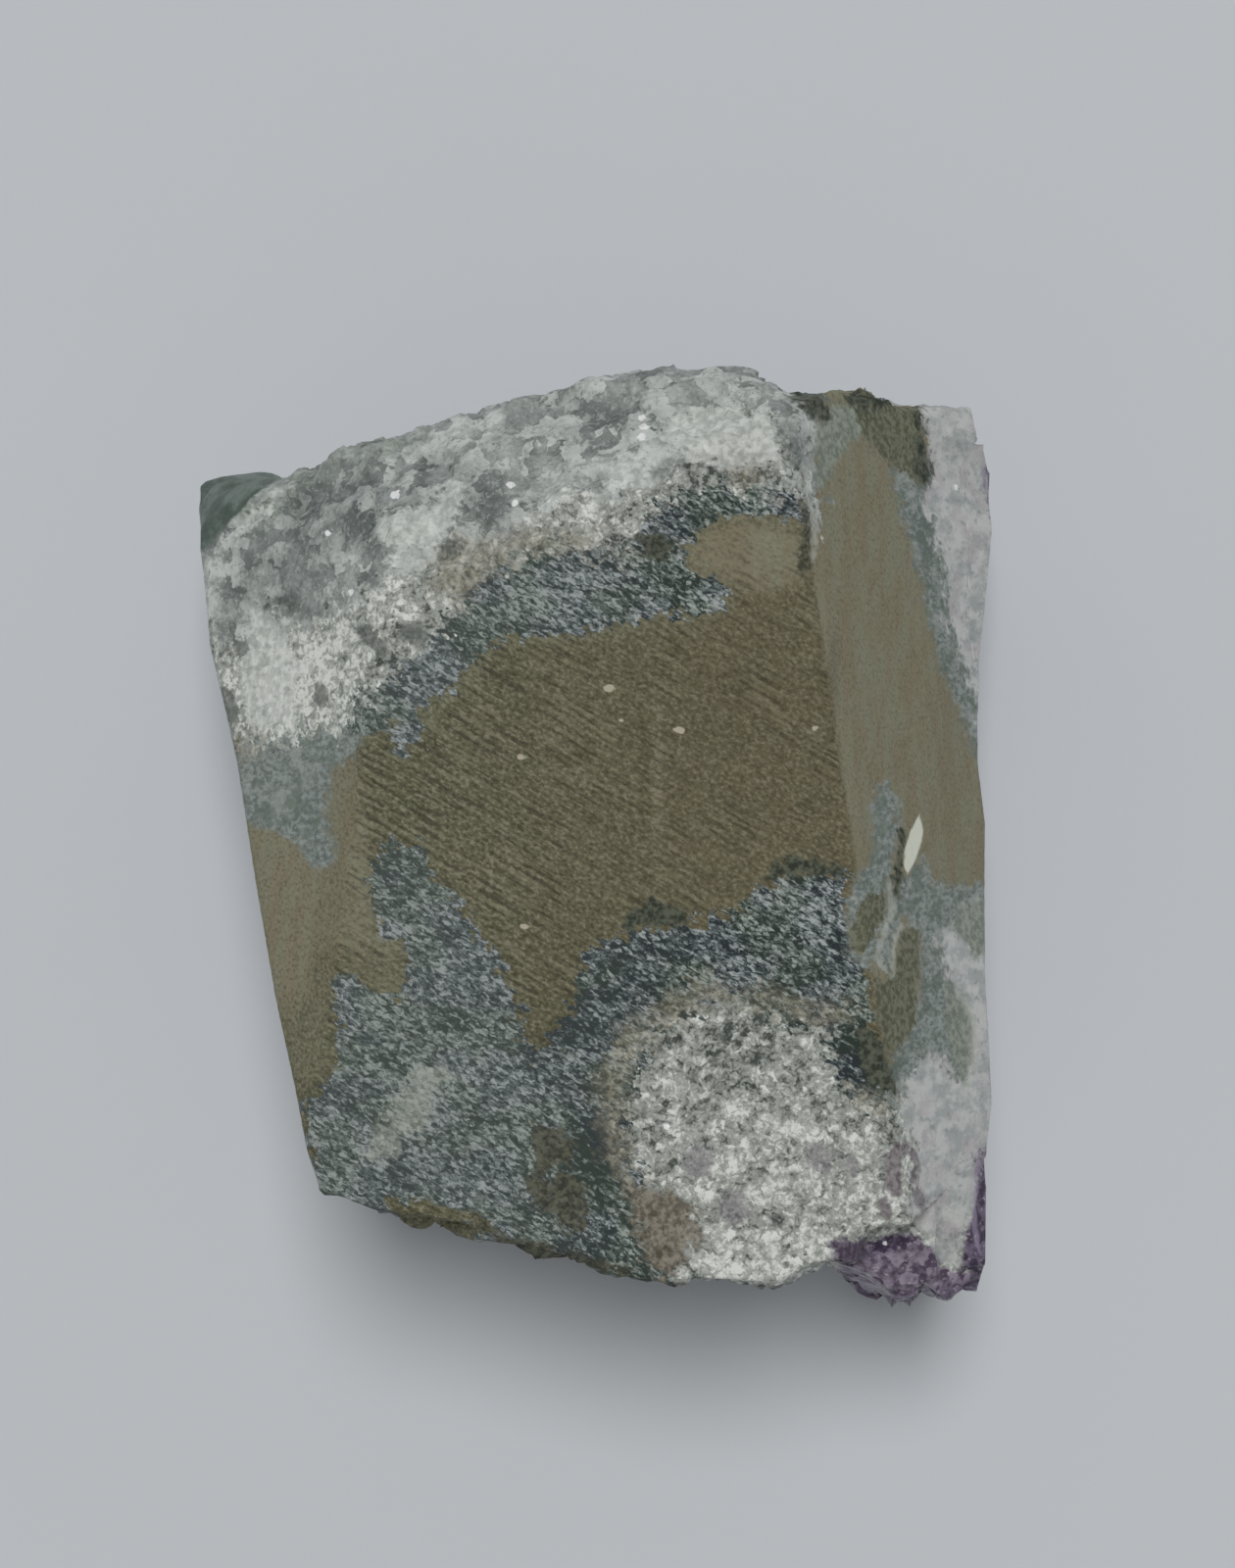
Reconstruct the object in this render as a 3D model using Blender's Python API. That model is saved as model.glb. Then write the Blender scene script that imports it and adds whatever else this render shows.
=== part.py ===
"""Amethyst cluster: a piece sawn out of a geode's wall, lying on its crystals with the sawn back up.

Two solids: the rock that the crystals grew on, and the crystals with the quartz that joins their roots.
Sizes are in millimetres in the tables, and MM turns them into metres. +X is to the right and +Y away from
someone who looks down on the back.
"""

import math
import random

import bmesh
import bpy
from mathutils import Matrix, Vector, noise

MM = 0.001

# The whole piece
HEIGHT = 28.0
ROOT_DEPTH = 15.0
GAP = 0.4
TO_BOX_CENTRE = Vector((0.85, 3.1, 0.0))

# Plan of the broken rim. Where the piece is sawn, it runs out past the saw cut.
RIM = (
    (-22.1, 17.0), (-18.2, 16.8), (-15.0, 18.0), (-9.8, 19.4), (-5.7, 20.7), (-0.5, 22.2), (7.0, 22.2),
    (9.0, 20.9), (15.7, 20.6), (20.3, 20.9), (22.4, 18.6), (24.0, 15.5), (24.0, -21.5),
    (17.0, -24.4), (11.4, -24.7), (7.2, -26.2), (2.5, -26.0), (-1.5, -24.5), (-9.5, -22.8), (-14.2, -21.3),
    (-25.0, -19.8), (-25.0, 6.0), (-22.0, 10.5),
)

# Saw cuts: two points on the ridge where a cut leaves the level back, and its slope below level
RIGHT_CUT = ((8.5, 20.0), (13.75, -15.5), 55.0)
LEFT_CUT = ((-15.6, -18.5), (-12.75, 3.0), 45.0)
LEFT_SIDE = ((-15.3, -20.8), (-21.8, 10.8), 90.0)
RIGHT_SIDE = ((20.9, 15.0), (19.8, -15.0), 90.0)

# Broken quartz slopes behind the back, and the chip at its corner: three points of each, below the back
BROKEN_SLOPES = (
    (Vector((-21.2, 7.5, 0.0)), Vector((9.5, 19.0, 0.0)), Vector((-9.8, 19.4, -5.9))),
    (Vector((-12.0, 10.0, 0.0)), Vector((-21.5, 7.5, -7.0)), Vector((-20.0, 16.3, -10.0))),
    (Vector((-22.2, 12.6, -9.8)), Vector((-17.5, 16.7, -8.3)), Vector((-22.4, 16.8, -14.0))),
)

# Relief of the broken faces, as (size of a lump, height of the relief)
BROKEN_VOXEL = 1.75
BROKEN_LUMPS = ((6.5, 2.6), (2.6, 1.3))

# The surface that the crystals grow from: level with gentle waves, rising at the front right corner
GROWTH_STEP = 2.6
GROWTH_WAVE = 1.1
GROWTH_WAVELENGTH = 9.0
CORNER_LINE = ((10.6, -23.4), (19.2, -22.2))
CORNER_RISE = 17.0
CORNER_RAMP = (-4.5, 0.8)
CORNER_START = (9.0, 12.0)
# The broken top of the crystals past that line, which nothing covers, falls away from just under the back
CORNER_TOP_DROP = 0.4
CORNER_TOP_SLOPE = 0.6

# Crystals under the piece: the sizes that honeycombs of them take
CRYSTAL_SEED = 23
LARGE_CRYSTALS = {"spacing": 6.4, "half_width": (3.2, 4.0), "tip_level": (0.9, 4.6), "lean": 0.24}
SMALL_CRYSTALS = {"spacing": 4.9, "half_width": (1.3, 2.0), "tip_level": (4.6, 7.4), "lean": 0.36}
ROOT_LENGTH = 1.5
FACE_SLOPE = math.radians(51.8)
SLAB_LOW = 10.6
# How much of the rim's plan, across and from front to back, the crystals' roots fill
SLAB_SHARE = (0.96, 0.90)
CRYSTAL_SHARE = (1.0, 0.81)
FAN = 0.007
# The crystals nearest these points reach the ground
FEET = ((-14.0, 9.5), (14.5, 12.5), (-10.5, -15.5), (0.0, 14.5), (13.5, -17.0), (1.5, -6.0))

# Crystals that stand out of the front right corner: levels, places along the line, and how they point
CORNER_LEVELS = (6.8, 10.2, 13.6, 17.0, 20.4, 23.6)
CORNER_SHARES = (0.3, 0.58, 0.86)
CORNER_ROW_SHIFT = 0.14
CORNER_ROOT_INSET = 5.0
CORNER_REACH = (3.6, 5.0)
CORNER_REACH_RISE = 0.38
CORNER_HALF_WIDTH = (2.2, 3.0)
CORNER_FALL = (0.1, 0.6)
CORNER_ASIDE = (-0.12, 0.18)

ROCK_COLOUR = (0.115, 0.105, 0.07, 1.0)
AMETHYST_COLOUR = (0.23, 0.13, 0.34, 1.0)


def clear_scene():
    for item in list(bpy.data.objects):
        bpy.data.objects.remove(item)


def material(name, colour, roughness, transmission=0.0):
    made = bpy.data.materials.new(name)
    made.use_nodes = True
    made.diffuse_color = colour
    shader = made.node_tree.nodes["Principled BSDF"]
    shader.inputs["Base Color"].default_value = colour
    shader.inputs["Roughness"].default_value = roughness
    shader.inputs["Metallic"].default_value = 0.0
    shader.inputs["Transmission Weight"].default_value = transmission
    return made


def object_of(name, mesh_data, finish=None):
    """A named object from a bmesh drawn in millimetres, moved to the centre of the piece."""
    bmesh.ops.translate(mesh_data, verts=mesh_data.verts, vec=TO_BOX_CENTRE)
    bmesh.ops.scale(mesh_data, verts=mesh_data.verts, vec=(MM, MM, MM))
    bmesh.ops.recalc_face_normals(mesh_data, faces=mesh_data.faces)
    mesh = bpy.data.meshes.new(name)
    mesh_data.to_mesh(mesh)
    mesh_data.free()
    made = bpy.data.objects.new(name, mesh)
    bpy.context.scene.collection.objects.link(made)
    if finish:
        mesh.materials.append(finish)
    return made


def as_cutter(item):
    item.hide_render = True
    item.display_type = "WIRE"
    return item


def boolean(item, other, operation, own_overlaps=False):
    step = item.modifiers.new(operation.lower() + "_" + other.name, "BOOLEAN")
    step.operation = operation
    step.solver = "EXACT"
    step.use_self = own_overlaps
    step.object = other


def scaled(plan, shares):
    return [(x * shares[0], y * shares[1]) for x, y in plan]


def prism(plan, low, high):
    """A closed upright prism over a plan outline."""
    made = bmesh.new()
    base = made.faces.new([made.verts.new((x, y, low)) for x, y in plan])
    grown = bmesh.ops.extrude_face_region(made, geom=[base])
    top = [v for v in grown["geom"] if isinstance(v, bmesh.types.BMVert)]
    bmesh.ops.translate(made, verts=top, vec=(0.0, 0.0, high - low))
    return made


def slice_off(made, point, normal):
    """Takes away what lies beyond a plane and closes the cut with one flat face."""
    everything = made.verts[:] + made.edges[:] + made.faces[:]
    cut = bmesh.ops.bisect_plane(made, geom=everything, plane_co=point, plane_no=normal, clear_outer=True)
    edges = [e for e in cut["geom_cut"] if isinstance(e, bmesh.types.BMEdge)]
    if len(edges) > 2:
        bmesh.ops.contextual_create(made, geom=edges)


def ridge_plane(ridge):
    """The plane of a saw cut that leaves the level of the back along a ridge, to the ridge's right."""
    (x0, y0), (x1, y1), slope = ridge
    along = Vector((x1 - x0, y1 - y0, 0.0)).normalized()
    outward = Vector((-along.y, along.x, 0.0))
    tilt = math.radians(slope)
    return Vector((x0, y0, HEIGHT)), outward * math.sin(tilt) + Vector((0.0, 0.0, math.cos(tilt)))


def sawn_envelope():
    """The convex space that every saw cut leaves, as one cutter."""
    half = 40.0
    made = prism(((-half, -half), (half, -half), (half, half), (-half, half)), -5.0, HEIGHT)
    for ridge in (RIGHT_CUT, LEFT_CUT, LEFT_SIDE, RIGHT_SIDE):
        point, normal = ridge_plane(ridge)
        slice_off(made, point, normal)
    return as_cutter(object_of("sawn_envelope", made))


def smooth_ramp(value, low, high):
    share = min(1.0, max(0.0, (value - low) / (high - low)))
    return share * share * (3.0 - 2.0 * share)


def beyond_corner_line(x, y):
    """How far a place lies past the line where the crystals come out from under the rock."""
    (x0, y0), (x1, y1) = CORNER_LINE
    along = Vector((x1 - x0, y1 - y0)).normalized()
    return (x - x0) * along.y - (y - y0) * along.x


def growth_height(x, y):
    """Height of the surface that the crystals grow from."""
    wave = noise.noise(Vector((x, y, 4.0)) / GROWTH_WAVELENGTH)
    corner = smooth_ramp(beyond_corner_line(x, y), *CORNER_RAMP) * smooth_ramp(x, *CORNER_START)
    return HEIGHT - ROOT_DEPTH + GROWTH_WAVE * wave + CORNER_RISE * corner


def crystal_top(x, y):
    """Height of the top of the crystals: the growth surface, or their own broken top at the corner."""
    fall = CORNER_TOP_SLOPE * max(0.0, beyond_corner_line(x, y))
    return min(growth_height(x, y), HEIGHT - CORNER_TOP_DROP - fall)


def surface_cutter(name, surface, lift, far_level):
    """A closed body between a surface over the plan, lifted a little, and a level far from it."""
    count = 24
    made = bmesh.new()
    bmesh.ops.create_grid(made, x_segments=count, y_segments=count, size=count * GROWTH_STEP / 2)
    for v in made.verts:
        v.co.z = surface(v.co.x, v.co.y) + lift
    bmesh.ops.triangulate(made, faces=made.faces[:])
    grown = bmesh.ops.extrude_face_region(made, geom=made.faces[:])
    for v in grown["geom"]:
        if isinstance(v, bmesh.types.BMVert):
            v.co.z = far_level
    return as_cutter(object_of(name, made))


def displace(item, lump, height):
    """Lumps of one size over a surface."""
    clouds = bpy.data.textures.new("lumps", "CLOUDS")
    clouds.noise_scale = lump * MM
    clouds.noise_depth = 1
    step = item.modifiers.new("lumps", "DISPLACE")
    step.texture = clouds
    step.texture_coords = "LOCAL"
    step.strength = height * MM
    step.mid_level = 0.5


def rock(envelope):
    """The wall rock: broken all round, then sawn flat, then hollowed where the crystals grow."""
    made = prism(RIM, 2.0, HEIGHT + 3.0)
    for slope in BROKEN_SLOPES:
        first, second, third = (p + Vector((0.0, 0.0, HEIGHT)) for p in slope)
        normal = (second - first).cross(third - first).normalized()
        slice_off(made, first, normal if normal.z > 0 else -normal)
    item = object_of("matrix", made, material("wall rock", ROCK_COLOUR, 0.75))
    remesh = item.modifiers.new("broken surface", "REMESH")
    remesh.mode = "VOXEL"
    remesh.voxel_size = BROKEN_VOXEL * MM
    for lump, height in BROKEN_LUMPS:
        displace(item, lump, height)
    boolean(item, envelope, "INTERSECT")
    boolean(item, surface_cutter("below_growth_surface", growth_height, GAP, -10.0), "DIFFERENCE")
    keep_main_shell(item)
    return item


def crystal(made, root, direction, half_width, length, turn, rng):
    """One quartz point: a hexagonal prism closed by six sloping faces, three of them larger."""
    body = bmesh.new()
    corner = half_width / math.cos(math.pi / 6)
    ring = [
        body.verts.new((corner * math.cos(i * math.pi / 3), corner * math.sin(i * math.pi / 3), 0.0))
        for i in range(6)
    ]
    grown = bmesh.ops.extrude_face_region(body, geom=[body.faces.new(ring)])
    top = [v for v in grown["geom"] if isinstance(v, bmesh.types.BMVert)]
    bmesh.ops.translate(body, verts=top, vec=(0.0, 0.0, length * 1.6))
    for i in range(6):
        angle = (i + 0.5) * math.pi / 3
        out = Vector((math.cos(angle), math.sin(angle), 0.0))
        normal = out * math.sin(FACE_SLOPE) + Vector((0.0, 0.0, math.cos(FACE_SLOPE)))
        lean = half_width * (rng.uniform(-0.06, 0.0) if i % 2 else rng.uniform(0.06, 0.32))
        slice_off(body, Vector((0.0, 0.0, length)) + out * lean, normal)
    axis = Vector(direction).normalized()
    place = Matrix.Translation(root) @ axis.to_track_quat("Z", "Y").to_matrix().to_4x4()
    bmesh.ops.transform(body, verts=body.verts, matrix=place @ Matrix.Rotation(turn, 4, "Z"))
    mesh = bpy.data.meshes.new("crystal")
    body.to_mesh(mesh)
    body.free()
    made.from_mesh(mesh)
    bpy.data.meshes.remove(mesh)


def inside(plan, x, y):
    """Whether a place lies inside an outline."""
    crossings = 0
    for (x0, y0), (x1, y1) in zip(plan, plan[1:] + plan[:1]):
        if (y0 > y) != (y1 > y) and x < x0 + (y - y0) / (y1 - y0) * (x1 - x0):
            crossings += 1
    return crossings % 2 == 1


def honeycomb(rng, spacing, plan):
    """Jittered places inside a plan, as (x, y)."""
    jitter = 0.2 * spacing
    for row in range(-6, 6):
        for column in range(-5, 6):
            x = (column + 0.5 * (row % 2)) * spacing + rng.uniform(-jitter, jitter)
            y = row * spacing * math.sqrt(0.75) + rng.uniform(-jitter, jitter)
            if inside(plan, x, y):
                yield x, y


def stand_on(made, first, level):
    """Moves the newest crystal up or down until its lowest point is at a level."""
    made.verts.ensure_lookup_table()
    new = made.verts[first:]
    lowest = min(v.co.z for v in new)
    bmesh.ops.translate(made, verts=new, vec=(0.0, 0.0, level - lowest))


def crystals_below(made, rng, size, feet=()):
    """The points that cover the underside, in one size. Those nearest the feet reach the ground."""
    plan = scaled(RIM, CRYSTAL_SHARE)
    places = list(honeycomb(rng, size["spacing"], plan))
    standing = {min(places, key=lambda place: math.dist(place, foot)) for foot in feet}
    for x, y in places:
        foot = (x, y) in standing
        lean = 0.05 if foot else size["lean"]
        half_width = max(size["half_width"]) if foot else rng.uniform(*size["half_width"])
        level = 0.0 if foot else rng.uniform(*size["tip_level"])
        root = min(growth_height(x, y), HEIGHT - ROOT_DEPTH) + ROOT_LENGTH
        across, back = x * FAN + rng.uniform(-lean, lean), y * FAN + rng.uniform(-lean, lean)
        if not inside(plan, x + across * root, y + back * root):
            across, back = -across, -back
        first = len(made.verts)
        turn = rng.uniform(0.0, math.pi / 3)
        crystal(made, (x, y, root), (across, back, -1.0), half_width, root - level, turn, rng)
        stand_on(made, first, level)


def crystals_of_corner(made, rng):
    """Rows of points that stand out of the front right corner, from the underside up to the back."""
    (x0, y0), (x1, y1) = CORNER_LINE
    along = Vector((x1 - x0, y1 - y0, 0.0))
    outward = Vector((along.y, -along.x, 0.0)).normalized()
    for row, level in enumerate(CORNER_LEVELS):
        for share in CORNER_SHARES:
            share += CORNER_ROW_SHIFT * (row % 2)
            root = Vector((x0, y0, level)) + along * share - outward * CORNER_ROOT_INSET
            aside = along.normalized() * rng.uniform(*CORNER_ASIDE)
            direction = outward + aside - Vector((0.0, 0.0, rng.uniform(*CORNER_FALL)))
            length = CORNER_ROOT_INSET + rng.uniform(*CORNER_REACH) + CORNER_REACH_RISE * row
            half_width = rng.uniform(*CORNER_HALF_WIDTH)
            crystal(made, root, direction, half_width, length, rng.uniform(0.0, 1.0), rng)


def keep_main_shell(item):
    """Applies the modifiers, and drops the hollows sealed inside and any loose chip."""
    evaluated = item.evaluated_get(bpy.context.evaluated_depsgraph_get())
    whole = bmesh.new()
    whole.from_mesh(evaluated.to_mesh())
    evaluated.to_mesh_clear()
    item.modifiers.clear()
    unseen = set(whole.verts)
    shells = []
    while unseen:
        shell = [unseen.pop()]
        for v in shell:
            found = {e.other_vert(v) for e in v.link_edges} & unseen
            unseen -= found
            shell.extend(found)
        shells.append(shell)
    shells.sort(key=len)
    for shell in shells[:-1]:
        bmesh.ops.delete(whole, geom=shell, context="VERTS")
    whole.to_mesh(item.data)
    whole.free()


def druse(envelope):
    """All the crystals, joined by the quartz that their roots share."""
    rng = random.Random(CRYSTAL_SEED)
    finish = material("amethyst", AMETHYST_COLOUR, 0.12, 0.5)
    item = object_of("amethyst_crystals", prism(scaled(RIM, SLAB_SHARE), SLAB_LOW, HEIGHT), finish)
    made = bmesh.new()
    crystals_below(made, rng, LARGE_CRYSTALS, FEET)
    crystals_below(made, rng, SMALL_CRYSTALS)
    crystals_of_corner(made, rng)
    boolean(item, as_cutter(object_of("crystal_points", made)), "UNION", own_overlaps=True)
    boolean(item, envelope, "INTERSECT")
    boolean(item, surface_cutter("above_crystals", crystal_top, 0.0, 45.0), "DIFFERENCE")
    keep_main_shell(item)
    return item


def main():
    clear_scene()
    envelope = sawn_envelope()
    rock(envelope)
    druse(envelope)


main()
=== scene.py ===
"""Looks of the amethyst cluster: wall rock, quartz, crystals, floor, light and camera.

The camera looks straight down on the sawn back, as in the photo. Places on the back are given in the
photo's pixels, and to_pixels() says where a point of the piece falls there. Colours are given as the photo
shows them, from 0 to 255, and albedo() turns them into the colour of the surface. Lengths are in
millimetres, apart from the floor's radius and the lights' distance, which are in metres.
"""

import math

import bmesh
import bpy
import numpy as np
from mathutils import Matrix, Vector
from mathutils.bvhtree import BVHTree


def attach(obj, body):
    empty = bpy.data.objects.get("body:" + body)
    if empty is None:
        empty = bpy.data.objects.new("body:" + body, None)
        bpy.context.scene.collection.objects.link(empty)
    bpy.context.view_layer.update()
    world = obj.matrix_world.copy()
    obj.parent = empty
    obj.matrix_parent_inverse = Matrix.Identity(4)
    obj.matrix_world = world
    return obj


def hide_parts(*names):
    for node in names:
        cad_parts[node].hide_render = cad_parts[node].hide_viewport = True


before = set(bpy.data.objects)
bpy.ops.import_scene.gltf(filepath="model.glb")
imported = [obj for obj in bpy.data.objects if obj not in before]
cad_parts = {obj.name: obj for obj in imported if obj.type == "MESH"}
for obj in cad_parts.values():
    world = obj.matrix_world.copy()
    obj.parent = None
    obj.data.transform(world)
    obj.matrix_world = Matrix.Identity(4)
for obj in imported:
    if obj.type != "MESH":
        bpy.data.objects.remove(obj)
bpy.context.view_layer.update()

MM = 0.001

# The piece, as the solids have it
HEIGHT = 28.0
TO_BOX_CENTRE = np.array((0.85, 3.1, 0.0))
# Saw cuts that slope away from the back: two points on the ridge and the slope below level
SAW_CUTS = {
    "right cut": ((8.5, 20.0), (13.75, -15.5), 55.0),
    "left cut": ((-15.6, -18.5), (-12.75, 3.0), 45.0),
    "left side": ((-15.3, -20.8), (-21.8, 10.8), 90.0),
    "right side": ((20.9, 15.0), (19.8, -15.0), 90.0),
}

# Above this level lies the quartz that joins the crystals' roots
SLAB_LOW = 10.6
QUARTZ_IOR = 1.54
# The crystals' colours, and what they absorb
TIP_COLOUR = (0.50, 0.34, 0.70, 1.0)
ROOT_COLOUR = (0.70, 0.58, 0.80, 1.0)
ABSORPTION_COLOUR = (0.50, 0.22, 0.72, 1.0)
ABSORPTION_DENSITY = 340.0
# The corner where the photo shows the crystals: from this pixel on, and above this height
CORNER = (835, 1140)
CORNER_LOW = 1.0
# Kinds of faces on the crystals' piece, the longest edge at the roots, and the most rounds of halving
CRYSTAL, ROOT, HIDDEN = 0, 1, 2
ROOT_EDGE = 0.6
REFINE_ROUNDS = 12
# Vertices of the frame closer than this are one
JOIN_WITHIN = 0.01
# How near the rock draws the roots to it, fully and at all, how deep they then reach into it, and how far
# under a saw cut they end
ROCK_NEAR = (0.7, 1.3)
INTO_ROCK = 0.3
UNDER_CUT = 0.02

# Facets of the broken rock and of the quartz at the roots: sizes, tilts and seeds, then the lowest and the
# highest that they may add
ROCK_RELIEF = (((3.4, 0.34, 5), (1.5, 0.3, 11), (0.8, 0.2, 17)), -0.8, 0.6)
ROOT_RELIEF = (((1.6, 0.35, 31), (0.7, 0.3, 37)), -0.5, 0.35)
# Whole numbers that mix a cell's place and a seed into random numbers
CELL_SHIFT = 4096
CELL_PRIMES = (73856093, 19349663, 83492791)
SEED_PRIME = 7919
AXIS_PRIME = 104729
MIXER = 0x45D9F3B
FAR_AWAY = 1e9

# The photo's frame and the camera that fits it
PHOTO_SIZE = (1260, 1600)
CAMERA_PIXEL = (630.0, 800.0)
MM_PER_PIXEL = 0.05
CAMERA_HEIGHT = 190.0
SENSOR = 36.0

# The floor as the photo shows it, what it is taken to reflect, and the most that any surface reflects
FLOOR_SEEN = (180, 184, 187)
FLOOR_ALBEDO = 0.72
BRIGHTEST = 0.95
FLOOR_RADIUS = 12.0
# What reaches the floor as light, so that it looks like FLOOR_SEEN
FLOOR_LIGHT = 0.66

# The lights: how far they lean towards the far edge, their half widths across and along, in degrees, and
# their shares of the floor's light. The room gives the rest, brighter low down than overhead.
LIGHT_DISTANCE = 4.0
KEY_LIGHT = (17.0, (8.5, 11.5), 0.72)
FILL_LIGHT = (0.0, (5.0, 5.0), 0.06)
ROOM_LOW = 0.5
ROOM_HIGH = 0.08
ROOM_COLOUR = (0.97, 0.985, 1.0, 1.0)

# Parts that are darker or paler: a place and two radii in the photo's pixels, and how much paler they are
TONES = (
    ((606, 1170), (50, 90), -0.2), ((600, 1040), (60, 60), -0.11), ((660, 995), (80, 40), -0.1),
    ((760, 960), (80, 40), -0.06), ((885, 1080), (45, 55), -0.22), ((425, 1115), (60, 50), 0.13),
    ((360, 1180), (60, 60), 0.02), ((560, 615), (90, 30), 0.09), ((470, 650), (50, 40), -0.04),
    ((700, 540), (50, 40), -0.06), ((400, 890), (40, 40), -0.05), ((300, 700), (100, 90), 0.15),
    ((380, 700), (60, 60), 0.03), ((430, 540), (50, 30), 0.3), ((740, 1080), (110, 70), -0.09),
    ((760, 1280), (90, 40), 0.03), ((680, 1150), (60, 60), -0.02), ((790, 560), (50, 40), 0.14),
    ((671, 790), (9, 130), 0.2), ((657, 780), (7, 120), -0.16), ((480, 900), (80, 90), 0.05),
    ((760, 700), (80, 100), -0.05), ((560, 1060), (40, 40), -0.08), ((250, 660), (30, 60), -0.04),
    ((480, 590), (40, 30), -0.06), ((340, 520), (100, 60), -0.2), ((270, 590), (70, 50), -0.14),
    ((495, 515), (36, 40), -0.24), ((460, 440), (50, 22), 0.16), ((505, 425), (14, 14), 0.35),
    ((610, 425), (30, 16), -0.14), ((575, 480), (50, 40), 0.1), ((700, 400), (110, 40), 0.12),
    ((660, 460), (40, 20), 0.2), ((760, 460), (80, 40), -0.12), ((330, 480), (60, 16), -0.06),
    ((290, 612), (20, 8), -0.4), ((590, 455), (40, 24), -0.1), ((215, 600), (30, 60), 0.2),
    ((850, 690), (16, 110), -0.12), ((370, 485), (50, 20), 0.1), ((940, 550), (20, 60), -0.12),
    ((812, 460), (40, 60), -0.1), ((655, 1300), (30, 24), -0.12), ((515, 562), (50, 14), 0.08),
    ((590, 1276), (60, 16), -0.08),
)

# Small pale flecks in the brown rock, by place and half width in the photo's pixels
FLECKS = (
    ((620, 703), 3.2), ((693, 745), 3.0), ((832, 743), 3.0), ((535, 945), 2.4), ((532, 773), 2.0),
    ((634, 735), 1.8),
)

# Painted highlights: bright glints painted into the colour as near-white spots, by place and radius in the
# photo's pixels
PAINTED_GLINTS = (
    ((655, 421), 3.4), ((657, 432), 3.8), ((655, 443), 4.2), ((400, 500), 5.0), ((520, 493), 4.0),
    ((525, 512), 2.8), ((355, 602), 3.0), ((329, 539), 2.6), ((1000, 475), 2.6), ((680, 1150), 2.6),
    ((908, 1277), 2.6),
)

# Borders that two outlines share: the rind's with the white quartz, its lobe's, and the brown lobe's
RIND_BORDER = (
    (345, 745), (362, 722), (395, 690), (425, 662), (452, 640), (470, 615), (492, 592), (512, 572),
    (545, 562), (590, 560), (622, 566), (650, 572),
)
RIND_LOBE = (
    (655, 540), (668, 520), (690, 505), (725, 497), (765, 500), (800, 505),
)
BROWN_LOBE = (
    (760, 606), (742, 596), (722, 588), (700, 575), (704, 556), (722, 540), (748, 530), (776, 532),
)

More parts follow.
